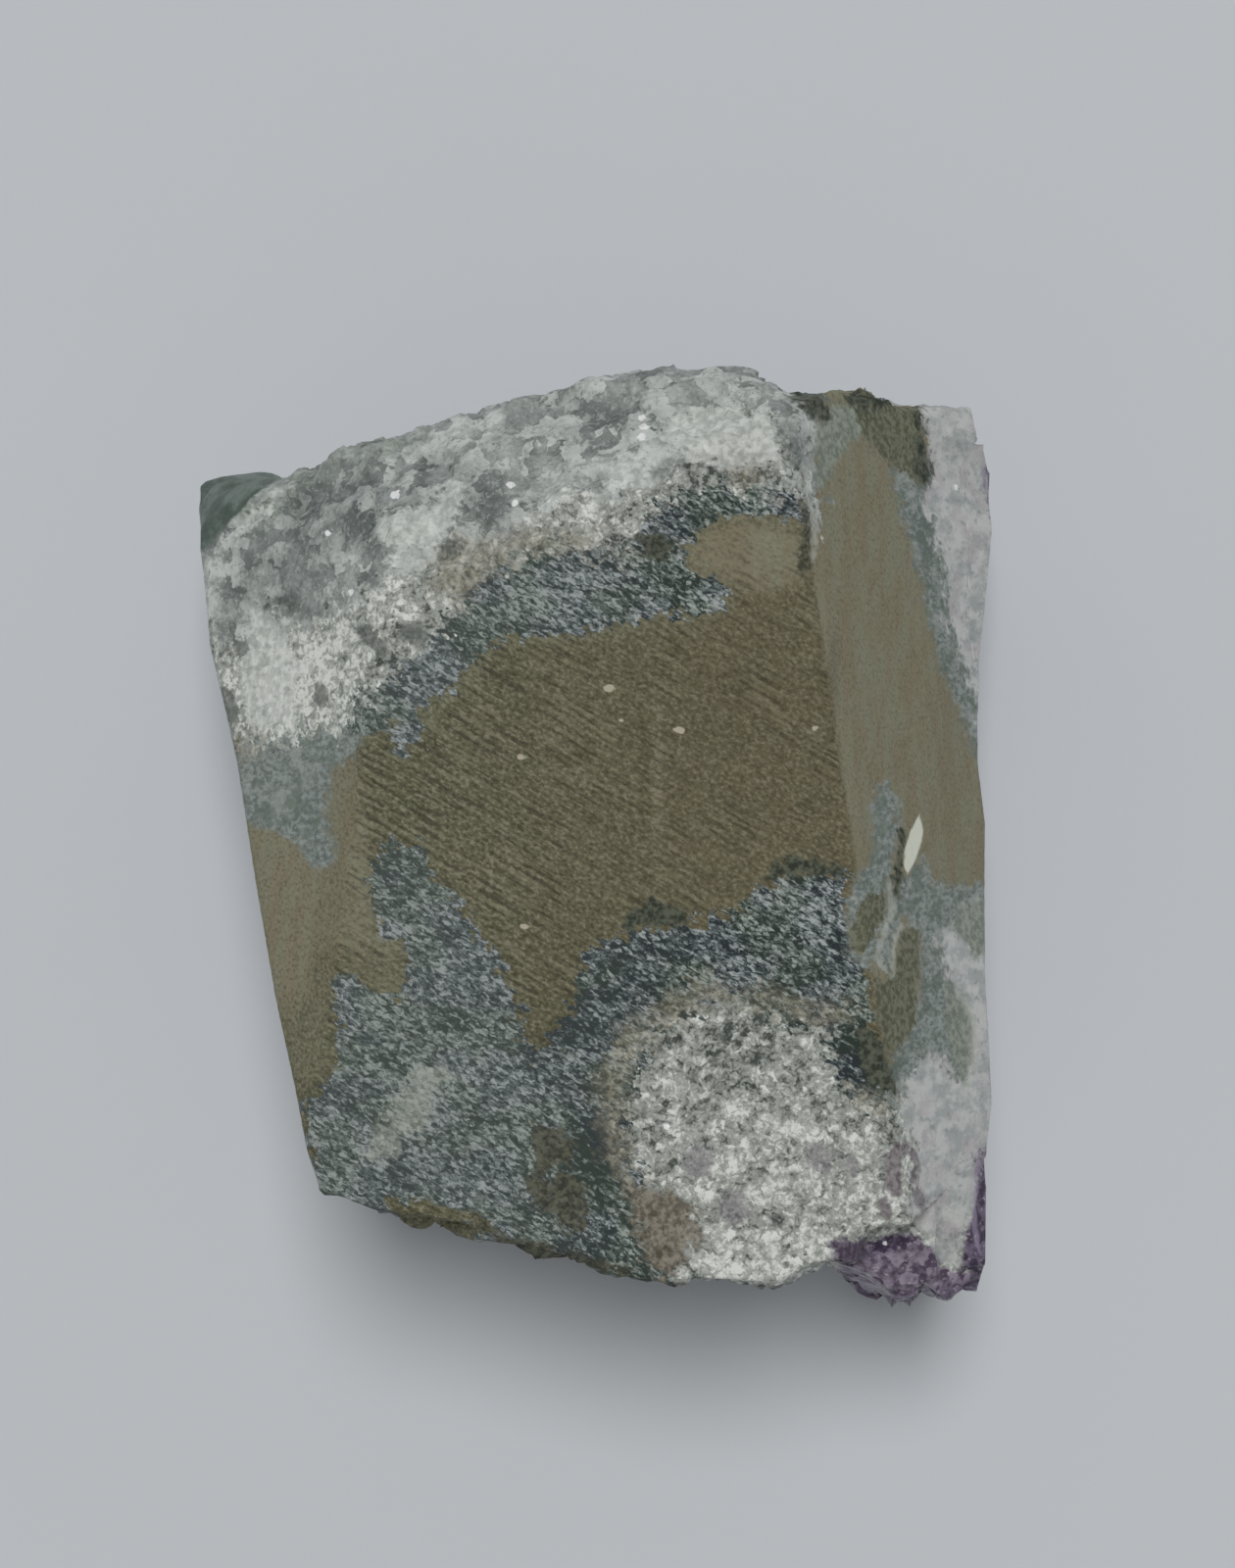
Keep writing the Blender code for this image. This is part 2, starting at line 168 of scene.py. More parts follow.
# Zones of the back, as outlines in the photo's pixels. Those that come later lie over those before.
ZONES = {
    "speckle": (
        # the band over the brown rock, with its second lobe
        ((405, 770), (398, 742), (372, 752), *RIND_BORDER, (660, 560), *RIND_LOBE, (822, 515), (818, 532),
         (795, 530), (765, 527), (730, 532), (712, 545), (722, 560), (745, 572), (752, 590), (742, 606),
         (735, 620), (700, 628), (650, 633), (600, 645), (560, 650), (525, 648), (500, 656), (485, 678),
         (468, 700), (440, 715), (432, 728), (430, 752)),
        # the band under it, from the left lobe round the brown tip to the right ridge
        ((382, 868), (400, 860), (428, 862), (432, 882), (455, 908), (478, 935), (496, 962), (515, 990),
         (524, 1020), (532, 1050), (545, 1076), (562, 1062), (578, 1035), (585, 1005), (600, 975),
         (622, 958), (645, 948), (668, 945), (700, 942), (735, 935), (760, 920), (778, 905), (800, 893),
         (830, 890), (862, 892), (868, 905), (862, 930), (866, 950), (868, 970), (885, 990), (886, 1010),
         (893, 1050), (905, 1085), (914, 1114), (890, 1126), (868, 1114), (850, 1085), (846, 1055),
         (835, 1042), (800, 1038), (765, 1024), (742, 1012), (715, 1024), (690, 1038), (662, 1048),
         (648, 1062), (646, 1085), (638, 1115), (631, 1158), (645, 1198), (660, 1235), (668, 1270),
         (685, 1310), (680, 1340), (440, 1340), (310, 1240), (316, 1180), (310, 1125), (322, 1110),
         (338, 1095), (342, 1070), (338, 1040), (334, 998), (352, 985), (385, 985), (384, 940), (372, 905)),
    ),
    "blue": (
        # the pale band on the left cut
        ((225, 762), (262, 770), (300, 757), (330, 760), (345, 750), (372, 752), (345, 785), (334, 800),
         (333, 830), (342, 868), (338, 885), (318, 888), (300, 860), (288, 850), (262, 845), (236, 836)),
        # the band down the right cut
        ((908, 474), (930, 478), (942, 505), (950, 530), (964, 570), (966, 600), (972, 640), (984, 680),
         (996, 705), (1030, 745), (1030, 800), (1000, 790), (990, 756), (976, 720), (961, 680), (950, 642),
         (940, 592), (928, 558), (916, 520)),
        # the finger at the right ridge
        ((893, 800), (905, 796), (915, 806), (918, 832), (918, 852), (913, 880), (905, 905), (907, 930),
         (895, 975), (887, 992), (868, 975), (866, 950), (862, 930), (868, 905), (885, 885), (893, 850),
         (889, 825)),
        # the patch low on the right cut
        ((935, 868), (950, 895), (975, 905), (1030, 903), (1030, 925), (975, 925), (970, 948), (957, 955),
         (962, 985), (974, 1016), (972, 1060), (980, 1102), (966, 1086), (957, 1078), (943, 1084),
         (924, 1103), (912, 1114), (904, 1090), (921, 1062), (932, 1045), (939, 985), (938, 950), (925, 944),
         (912, 935), (906, 905), (918, 892), (928, 893)),
        # between the olive islands
        ((906, 903), (913, 935), (922, 942), (914, 958), (911, 998), (902, 992), (892, 978), (898, 958),
         (905, 934)),
    ),
    "white": (
        # the low right
        ((742, 1012), (765, 1026), (800, 1042), (835, 1047), (845, 1062), (850, 1090), (868, 1116),
         (892, 1130), (915, 1118), (935, 1096), (962, 1084), (1030, 1100), (1030, 1360), (690, 1360),
         (674, 1318), (686, 1290), (664, 1262), (655, 1215), (640, 1180), (632, 1150), (640, 1110),
         (650, 1080), (660, 1055), (690, 1040), (715, 1026)),
        # behind the back
        ((180, 460), (180, 700), (236, 765), (265, 764), (300, 757), *RIND_BORDER, *RIND_LOBE, (822, 522),
         (834, 545), (835, 500), (832, 460), (838, 430), (830, 380), (180, 350)),
    ),
    "glass": (
        ((170, 480), (260, 440), (345, 420), (480, 385), (600, 360), (790, 350), (840, 390), (838, 450),
         (834, 512), (818, 502), (800, 470), (786, 440), (770, 425), (715, 432), (700, 470), (668, 498),
         (620, 512), (575, 508), (545, 520), (528, 552), (480, 556), (440, 580), (398, 590), (368, 612),
         (330, 628), (290, 644), (262, 636), (232, 650), (205, 640)),
    ),
    "green glass": (
        ((236, 522), (258, 500), (292, 478), (340, 452), (400, 440), (436, 448), (402, 468), (352, 478),
         (312, 498), (282, 528), (256, 545)),
    ),
    "green rind": (
        ((832, 440), (838, 416), (888, 410), (886, 440), (866, 452), (852, 474), (845, 494), (837, 504),
         (831, 480)),
        ((975, 925), (1004, 918), (1040, 925), (1020, 962), (997, 979), (986, 964), (972, 948)),
        ((966, 1004), (985, 1016), (993, 1040), (994, 1078), (986, 1106), (979, 1100), (968, 1060)),
    ),
    "tan": (
        ((440, 575), (466, 556), (500, 548), (552, 538), (606, 545), (602, 562), (560, 562), (524, 568),
         (494, 590), (470, 612), (446, 602)),
        ((704, 1006), (735, 1000), (748, 1014), (716, 1028), (692, 1042), (662, 1056), (652, 1080),
         (642, 1110), (634, 1150), (642, 1182), (656, 1212), (640, 1214), (618, 1180), (606, 1140),
         (612, 1095), (626, 1060), (650, 1036), (676, 1018)),
        ((748, 1008), (790, 1010), (846, 1022), (872, 1036), (882, 1062), (866, 1044), (835, 1044),
         (800, 1040), (766, 1026)),
        ((868, 1112), (892, 1122), (914, 1112), (906, 1126), (884, 1136), (866, 1126)),
        ((748, 474), (768, 470), (776, 486), (762, 494), (748, 488)),
        ((240, 752), (262, 756), (262, 774), (244, 776)),
    ),
    "stain": (
        ((650, 1208), (690, 1220), (714, 1240), (708, 1264), (692, 1290), (678, 1312), (664, 1292),
         (656, 1265), (644, 1240)),
    ),
    "dark spots": (
        ((364, 641), (374, 637), (388, 650), (396, 662), (392, 670), (378, 663), (366, 652)),
        ((266, 618), (276, 610), (288, 608), (304, 618), (302, 624), (286, 617), (270, 624)),
        ((226, 700), (238, 706), (244, 730), (236, 745), (228, 728)),
        ((236, 655), (250, 650), (256, 664), (244, 672)),
        ((320, 700), (330, 696), (338, 712), (330, 722), (322, 716)),
        ((404, 640), (424, 632), (440, 648), (430, 660), (412, 656)),
        ((445, 560), (462, 548), (474, 556), (468, 572), (450, 576)),
    ),
    "bright chips": (
        ((382, 548), (386, 526), (402, 517), (436, 522), (462, 488), (471, 484), (473, 505), (463, 536),
         (448, 551), (420, 557), (394, 556)),
        ((256, 624), (276, 622), (288, 646), (304, 680), (300, 730), (262, 748), (244, 715), (248, 660)),
        ((222, 548), (262, 516), (292, 490), (300, 494), (270, 524), (236, 560), (224, 570)),
        ((600, 470), (640, 462), (672, 476), (660, 496), (620, 498)),
        ((690, 420), (740, 412), (790, 430), (800, 470), (760, 480), (710, 470), (684, 446)),
    ),
    "pale quartz": (
        # the strip at the right edge
        ((932, 404), (990, 402), (1040, 430), (1040, 760), (1003, 742), (994, 706), (982, 680), (970, 640),
         (964, 600), (962, 570), (949, 530), (941, 505), (947, 490), (942, 450)),
        # the lower right, from the olive drop to the purple corner
        ((925, 1102), (944, 1084), (958, 1078), (968, 1086), (979, 1100), (976, 1060), (974, 1016),
         (965, 985), (957, 956), (970, 950), (978, 925), (1040, 915), (1040, 1230), (996, 1240), (980, 1290),
         (960, 1288), (952, 1264), (935, 1255), (925, 1235), (935, 1200), (930, 1165), (922, 1130)),
    ),
    "clean cut": (
        # the brown of the right cut, where no quartz reaches over
        ((838, 440), (880, 440), (930, 500), (960, 640), (990, 760), (1005, 860), (870, 870), (852, 640),
         (838, 500)),
    ),
    "brown": (
        # the wedge and the wall at the left, the patches low down, and the lobe at the top
        ((236, 838), (262, 848), (300, 866), (318, 890), (344, 888), (372, 905), (384, 940), (384, 956),
         (412, 962), (418, 990), (412, 1023), (396, 1016), (368, 1003), (352, 990), (336, 998), (340, 1040),
         (342, 1075), (336, 1096), (318, 1112), (300, 1120)),
        ((398, 1222), (430, 1226), (468, 1234), (502, 1248), (496, 1262), (450, 1262), (404, 1248)),
        (*BROWN_LOBE, (800, 545), (808, 580), (794, 602)),
    ),
    "smooth brown": (
        # on the left, over the ridge up to the rind
        ((300, 760), (340, 752), (366, 775), (372, 820), (376, 868), (382, 900), (384, 945), (412, 962),
         (418, 990), (412, 1023), (368, 1003), (345, 985), (336, 1040), (336, 1096), (300, 1120),
         (230, 840)),
        # the lobe at the top
        (*BROWN_LOBE, (820, 545), (826, 590), (794, 606)),
    ),
    "pale streak": (
        ((424, 1088), (448, 1085), (458, 1098), (440, 1120), (437, 1148), (412, 1165), (388, 1188),
         (370, 1184), (378, 1160), (398, 1140), (408, 1116)),
    ),
    "dark brown": (
        # patches low in the speckled rind, and on the rim under them a strip that is partly dark rock and
        # partly painted shade at the edge
        ((545, 1146), (570, 1148), (586, 1166), (584, 1190), (562, 1188), (552, 1200), (543, 1172)),
        ((542, 1196), (562, 1198), (584, 1200), (602, 1228), (598, 1254), (576, 1256), (552, 1238),
         (538, 1216)),
        ((480, 1246), (540, 1264), (600, 1282), (650, 1296), (640, 1306), (580, 1292), (520, 1276)),
        # a drop at the upper end of the right ridge
        ((815, 512), (825, 508), (830, 540), (830, 572), (820, 588), (813, 580), (818, 545)),
    ),
    "olive": (
        # islands on the right cut, a drop and a tongue low at the right, and the top right
        ((888, 912), (903, 910), (904, 930), (891, 955), (880, 976), (868, 968), (866, 950), (877, 930)),
        ((917, 948), (937, 950), (938, 985), (932, 1045), (921, 1064), (905, 1078), (893, 1030), (890, 996),
         (905, 1000), (912, 985)),
        ((912, 893), (922, 893), (918, 916), (909, 916)),
        ((872, 418), (900, 406), (936, 412), (943, 450), (947, 490), (936, 502), (925, 482), (908, 474),
         (890, 455), (880, 440)),
    ),
    "corner facet": (
        ((190, 465), (300, 460), (294, 486), (268, 498), (246, 520), (216, 556), (196, 566)),
    ),
    "dark green": (
        # the first strip, along the far edge, is partly dark green rock and partly painted shade
        ((800, 392), (832, 396), (842, 412), (850, 428), (836, 430), (815, 415)),
        ((864, 398), (908, 402), (920, 412), (892, 420), (874, 420), (860, 410)),
        ((930, 425), (938, 414), (946, 450), (950, 490), (942, 502), (935, 482)),
        ((648, 548), (664, 542), (688, 552), (682, 572), (660, 570)),
        ((636, 950), (642, 930), (666, 918), (692, 925), (702, 941), (678, 947), (658, 945)),
        ((776, 902), (790, 880), (812, 872), (850, 882), (862, 891), (830, 892), (800, 893)),
        ((872, 1050), (888, 1046), (905, 1085), (916, 1114), (902, 1116), (884, 1104)),
        ((917, 846), (924, 848), (922, 862), (920, 880), (922, 892), (918, 910), (910, 918), (911, 896),
         (914, 872)),
    ),
    "mauve": (
        ((700, 1172), (722, 1168), (732, 1190), (716, 1206), (700, 1196)),
        ((820, 1168), (838, 1164), (850, 1180), (846, 1200), (828, 1196)),
        ((862, 1178), (874, 1176), (880, 1196), (868, 1204)),
        ((738, 1210), (762, 1218), (766, 1246), (746, 1252), (736, 1232)),
    ),
    "ring": (
        # round a small pale crystal, and two spots under it
        ((903, 1184), (908, 1171), (922, 1165), (934, 1172), (938, 1188), (936, 1208), (929, 1206),
         (931, 1188), (926, 1178), (920, 1182), (918, 1200), (922, 1216), (914, 1224), (904, 1212)),
        ((893, 1226), (902, 1221), (911, 1232), (909, 1246), (900, 1243)),
        ((932, 1213), (940, 1214), (947, 1226), (942, 1240), (934, 1230)),
    ),
    "purple": (
        ((995, 1172), (1040, 1168), (1040, 1300), (978, 1300), (982, 1262), (991, 1236)),
        ((845, 1266), (872, 1270), (905, 1258), (925, 1254), (942, 1262), (954, 1275), (962, 1290),
         (985, 1298), (1000, 1290), (1040, 1290), (1040, 1380), (845, 1380), (852, 1292)),
    ),
    "deep purple": (
        ((846, 1263), (872, 1267), (905, 1255), (925, 1252), (934, 1262), (916, 1277), (886, 1287),
         (856, 1288)),
        ((999, 1184), (1040, 1180), (1040, 1300), (992, 1300), (979, 1290), (983, 1262), (993, 1236)),
        ((858, 1292), (882, 1299), (894, 1318), (936, 1317), (942, 1300), (952, 1314), (985, 1306),
         (1000, 1286), (1040, 1290), (1040, 1380), (860, 1380), (850, 1320)),
    ),
    "spindle": (
        ((938, 830), (942, 848), (940, 860), (934, 877), (926, 893), (922, 884), (923, 868), (928, 850)),
    ),
    "vein": (
        ((905, 900), (909, 900), (913, 930), (903, 955), (897, 975), (908, 996), (903, 996), (892, 976),
         (899, 952), (908, 930)),
        ((921, 940), (925, 944), (917, 953), (914, 970), (912, 1000), (908, 1000), (909, 970), (912, 950)),
        ((973, 1006), (990, 1024), (997, 1046), (997, 1082), (988, 1108), (984, 1108), (992, 1082),
         (992, 1048), (986, 1029), (970, 1011)),
        ((820, 486), (832, 512), (836, 545), (832, 574), (826, 572), (829, 545), (824, 515), (814, 490)),
    ),
}

# How far the solids' edges lie from the photo's. Each row holds a place along the edge, where the edge of the
# solids is there, and how far it moves, all in the photo's pixels.
LEFT_EDGE = (
    (480, 203, -7), (560, 209, -6), (600, 215, -8), (660, 225, -13), (720, 233, -9), (780, 241, -6),
    (900, 266, -8), (1020, 287, -8), (1110, 302, -4), (1220, 322, -2),
)
RIGHT_EDGE = (
    (410, 975, 16), (440, 980, 20), (450, 988, 18), (456, 992, 9), (480, 1015, -5), (510, 1016, -6),
    (540, 1015, -2), (600, 1014, -7), (660, 1013, -12), (740, 1013, -15), (780, 1013, -14), (840, 1012, -6),
    (900, 1012, -6), (1000, 1010, -4), (1060, 1009, 0), (1125, 1009, 4), (1170, 1009, -1), (1260, 1008, -1),
    (1290, 1007, -1), (1320, 1001, -3),
)
FAR_EDGE = (
    (205, 484, 6), (270, 481, 0), (310, 472, 3), (340, 445, 13), (400, 436, 8), (460, 412, 12),
    (530, 392, 13), (600, 379, 8), (690, 372, 3), (760, 366, 7), (840, 393, 4), (900, 404, 0), (940, 405, 7),
    (985, 412, 2),
)
NEAR_EDGE = (
    (325, 1235, -18), (348, 1238, -17), (385, 1241, -2), (430, 1261, -5), (470, 1270, -9), (520, 1274, -2),
    (600, 1304, -6), (680, 1318, -8), (760, 1315, -4), (840, 1296, -2), (900, 1340, -10), (940, 1325, 0),
    (975, 1328, 0), (1000, 1321, -4),
)
# How far in from an edge it shows, in pixels, and the heights over which it fades out towards the ground
EDGE_REACH = 70.0
EDGE_FADE = (3.0, 9.0)

# The way the saw's marks run over the back, in degrees below the photo's x axis, and their spacing
SAW_MARK_ANGLE = 30.0
SAW_MARK_SPACING = 0.45

# Where the rind and the white quartz begin on the hidden walls, and what lies only in the brown rock there
WALL_LEVELS = {"speckle": 19.5, "white": 17.3}
IN_BROWN_ROCK = ("brown", "olive", "dark green", "tan")

# Rinds and the quartz beside them, how far the rinds reach under it, and how soon that ends away from the
# common border
SHARED_BORDERS = (("speckle", "white"), ("blue", "white"), ("blue", "pale quartz"))
BORDER_OVERLAP = 2.2
BORDER_END = 2.5
# How far the rind and the white quartz stay off the clean cut
CLEAN_CUT = 1.5

# Columns of the photo: where the left cut ends, where the right one begins, and over which the left half's
# look ends
LEFT_CUT_END = 500
RIGHT_CUT_START = 700
LEFT_HALF = (420.0, 760.0)
# Rows of the photo over which the left cut and the smooth brown get rougher
ROUGHER_SLOPE = (1000.0, 1060.0)
ROUGHER_BROWN = (950.0, 980.0)
# Depths over which the back's look turns into a sloping cut's
LEFT_TURN = 1.8
RIGHT_TURN = 0.3

# How high the ripples of a zone's border stand out of their noise, and how soft a spot's edge is
RIPPLE = 3.0
SPOT_EDGE = 0.04
FLECK_STRETCH = 1.6
FLECK_SEEN = (158, 152, 134)
PAINTED_GLINT_COLOUR = (0.95, 0.95, 0.95, 1.0)
SPINDLE_SEEN = (188, 190, 177)
VEIN_SEEN = (168, 171, 162)
PALE_BORDER = (0.25, 0.5, 0.8, 0.2)

# The rock's layers from the lowest to the highest. Each has its zone, how soft, ragged, lobed and wavy the
# border is, and how much it covers. Mottled ones also have the size of the mottles and their two colours.
LAYERS = (
    ("speckle", (0.05, 0.8, 0.9, 0.1), 1.0),
    ("blue", (0.3, 0.35, 0.5), 1.0),
    ("white", (0.16, 1.4, 1.2, 0.2), 1.0),
    ("glass", (0.5, 0.8, 1.4, 0.7), 1.0),
    ("green glass", (0.4, 0.5, 0.9, 0.4), 0.6, 0.5, (84, 92, 84), (136, 143, 134)),
    ("bright chips", (0.2, 0.6, 0.5), 0.7, 0.5, (158, 161, 156), (194, 197, 192)),
    ("dark spots", (0.12, 0.25, 0.25), 0.8, 0.3, (70, 75, 70), (102, 105, 100)),
    ("pale quartz", PALE_BORDER, 1.0),
    ("tan", (0.7, 0.8, 0.8, 0.2), 0.5, 0.3, (90, 87, 73), (150, 145, 127)),
    ("stain", (0.4, 0.6, 0.6, 0.2), 0.9, 0.3, (76, 70, 59), (120, 113, 100)),
    ("brown", (0.06, 0.55, 0.75), 1.0),
    ("green rind", (0.25, 0.3, 0.3), 1.0, 0.4, (101, 108, 98), (130, 136, 125)),
    ("olive", (0.1, 0.3, 0.3), 1.0, 0.3, (76, 77, 61), (104, 106, 90)),
    ("corner facet", (0.1, 0.12, 0.1), 1.0, 1.5, (68, 79, 72), (96, 106, 101)),
    ("dark green", (0.2, 0.4, 0.4), 1.0, 0.4, (42, 47, 38), (80, 84, 72)),
    ("dark brown", (0.2, 0.5, 0.5), 0.9, 0.3, (47, 48, 39), (84, 84, 70)),
    ("pale streak", (0.3, 0.8, 0.5), 0.42, 0.3, (124, 130, 118), (164, 167, 154)),
    ("mauve", (0.16, 0.4, 0.25), 0.6, 0.3, (90, 88, 92), (124, 122, 125)),
    ("ring", (0.12, 0.2, 0.06), 0.85, 0.3, (76, 67, 72), (118, 110, 114)),
    ("purple", (0.2, 0.3, 0.2), 1.0, 0.3, (86, 77, 88), (140, 133, 142)),
    ("deep purple", (0.2, 0.3, 0.2), 1.0, 0.3, (54, 45, 58), (88, 77, 92)),
    ("spindle", (0.06, 0.04), 1.0),
    ("vein", (0.12, 0.2, 0.15), 0.5),
)

# The size of the rock's cells
VOXEL = 0.28


def albedo(seen, share=1.0):
    """The colour of a level surface that looks like seen under the light that makes the floor FLOOR_SEEN."""
    def linear(value):
        value /= 255.0
        return value / 12.92 if value <= 0.04045 else ((value + 0.055) / 1.055) ** 2.4
    floor_light = sum(linear(c) for c in FLOOR_SEEN) / 3.0
    return (*(min(BRIGHTEST, share * linear(c) / floor_light * FLOOR_ALBEDO) for c in seen), 1.0)


def pixel_size(heights):
    """What a pixel of the photo spans at some heights."""
    return MM_PER_PIXEL * (1.0 + (HEIGHT - heights) / CAMERA_HEIGHT)


def to_pixels(points):
    """Where points fall in the photo."""
    scale = pixel_size(points[:, 2])
    x = CAMERA_PIXEL[0] + (points[:, 0] - TO_BOX_CENTRE[0]) / scale
    y = CAMERA_PIXEL[1] - (points[:, 1] - TO_BOX_CENTRE[1]) / scale
    return np.stack((x, y), axis=1)


def smoothstep(value, low, high):
    share = np.clip((value - low) / (high - low), 0.0, 1.0)
    return share * share * (3.0 - 2.0 * share)


def signed_distance(points, outline):
    """Distance to an outline, positive inside it."""
    corners = np.array(outline, dtype=float)
    nearest = np.full(len(points), FAR_AWAY)
    inside = np.zeros(len(points), dtype=bool)
    for a, b in zip(corners, np.roll(corners, -1, axis=0)):
        edge = b - a
        share = np.clip(((points - a) @ edge) / (edge @ edge), 0.0, 1.0)
        nearest = np.minimum(nearest, np.linalg.norm(points - a - share[:, None] * edge, axis=1))
        if a[1] != b[1]:
            beside = (a[1] > points[:, 1]) != (b[1] > points[:, 1])
            crossing = a[0] + (points[:, 1] - a[1]) / edge[1] * edge[0]
            inside ^= beside & (points[:, 0] < crossing)
    return np.where(inside, nearest, -nearest)


def signed_zone(name, pixels):
    """Distance to a zone's outlines, positive inside one of them."""
    return np.max([signed_distance(pixels, outline) for outline in ZONES[name]], axis=0) * MM_PER_PIXEL


def follow_edges(points):
    """Moves the points near the piece's edges to where the photo has the edges."""
    pixels = to_pixels(points)
    scale = pixel_size(points[:, 2]) * smoothstep(points[:, 2], *EDGE_FADE)
    edges = ((0, LEFT_EDGE, 1.0), (0, RIGHT_EDGE, -1.0), (1, FAR_EDGE, 1.0), (1, NEAR_EDGE, -1.0))
    moved = points.copy()
    for axis, rows, inward in edges:
        along, edge, shift = zip(*rows)
        across = (pixels[:, axis] - np.interp(pixels[:, 1 - axis], along, edge)) * inward
        share = 1.0 - smoothstep(across, 0.0, EDGE_REACH)
        push = np.interp(pixels[:, 1 - axis], along, shift) * share * scale
        moved[:, axis] += push if axis == 0 else -push
    return moved


def cut_planes():
    """A point and the outward normal of each saw cut."""
    planes = []
    for (x0, y0), (x1, y1), slope in SAW_CUTS.values():
        along = np.array((x1 - x0, y1 - y0)) / math.hypot(x1 - x0, y1 - y0)
        tilt = math.radians(slope)
        normal = np.array((-along[1] * math.sin(tilt), along[0] * math.sin(tilt), math.cos(tilt)))
        planes.append((np.array((x0, y0, HEIGHT)) + TO_BOX_CENTRE, normal))
    return planes


def depth_under_cuts(points):
    """How deep points lie under the level back, and under the nearest saw cut of any kind."""
    back = HEIGHT - points[:, 2]
    nearest = back.copy()
    for place, normal in cut_planes():
        nearest = np.minimum(nearest, (place - points) @ normal)
    return back, nearest


def random_of(cells, seed):
    """Three random numbers from 0 to 1 for each cell of a grid."""
    mixed = np.zeros((len(cells), 3), dtype=np.uint32)
    for axis in range(3):
        value = (cells.astype(np.int64) + CELL_SHIFT) @ np.array(CELL_PRIMES) + seed * SEED_PRIME
        value = (value + axis * AXIS_PRIME).astype(np.uint32)
        for _ in range(2):
            value ^= value >> np.uint32(16)
            value *= np.uint32(MIXER)
        mixed[:, axis] = value ^ (value >> np.uint32(16))
    return mixed / float(2 ** 32 - 1)


def facets(points, size, tilt, seed):
    """Height of a surface broken into flat facets of about one size, each tilted its own way."""
    cells = np.floor(points / size).astype(np.int64)
    nearest = np.full(len(points), FAR_AWAY)
    height = np.zeros(len(points))
    for offset in np.ndindex(3, 3, 3):
        cell = cells + np.array(offset) - 1
        middle = (cell + random_of(cell, seed)) * size
        away = points - middle
        distance = np.einsum("ij,ij->i", away, away)
        slope = (random_of(cell, seed + 1) - 0.5) * 2.0 * tilt
        closer = distance < nearest
        nearest = np.where(closer, distance, nearest)
        height = np.where(closer, np.einsum("ij,ij->i", away, slope), height)
    return height


def relief(points, layers, lowest, highest):
    """Facets of several sizes, one over the other, within two limits."""
    return np.clip(sum(facets(points, *layer) for layer in layers), lowest, highest)


def positions(mesh):
    values = np.empty(len(mesh.vertices) * 3)
    mesh.vertices.foreach_get("co", values)
    return values.reshape(-1, 3) / MM


def set_positions(mesh, points):
    mesh.vertices.foreach_set("co", (points * MM).ravel())


def vertex_normals(mesh):
    values = np.empty(len(mesh.vertices) * 3)
    mesh.vertex_normals.foreach_get("vector", values)
    return values.reshape(-1, 3)


def set_attribute(mesh, name, values):
    attribute = mesh.attributes.new(name, "FLOAT", "POINT")
    attribute.data.foreach_set("value", np.asarray(values, dtype=np.float32))


def add(name, data):
    """A new object in the scene."""
    item = bpy.data.objects.new(name, data)
    bpy.context.scene.collection.objects.link(item)
    return item


def add_piece(name, mesh, node):
    """A piece of the scene that stands for a solid of the frame."""
    piece = add(name, mesh)
    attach(piece, "root")
    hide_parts(node)


def remeshed(node, voxel):
    """A copy of a node's mesh with even cells."""
    copy = add("remeshed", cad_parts[node].data.copy())
    step = copy.modifiers.new("remesh", "REMESH")
    step.mode = "VOXEL"
    step.voxel_size = voxel * MM
    mesh = bpy.data.meshes.new_from_object(copy.evaluated_get(bpy.context.evaluated_depsgraph_get()))
    bpy.data.objects.remove(copy)
    mesh.materials.clear()
    return mesh


class Nodes:
    """The nodes of a material or a world. Inputs may be numbers, colours or the outputs of other nodes."""

    def __init__(self, tree):
        self.tree = tree

    def put(self, socket, value):
        if isinstance(value, bpy.types.NodeSocket):
            self.tree.links.new(value, socket)
        else:
            socket.default_value = value

    def node(self, kind, inputs=None, **settings):
        """A new node, with its settings and with inputs by name or number."""
        made = self.tree.nodes.new("ShaderNode" + kind)
        for name, value in settings.items():
            setattr(made, name, value)
        for name, value in (inputs or {}).items():
            self.put(made.inputs[name], value)
        return made

    def axis(self, place, name):
        """One axis of a place."""
        return self.node("SeparateXYZ", {0: place}).outputs[name]


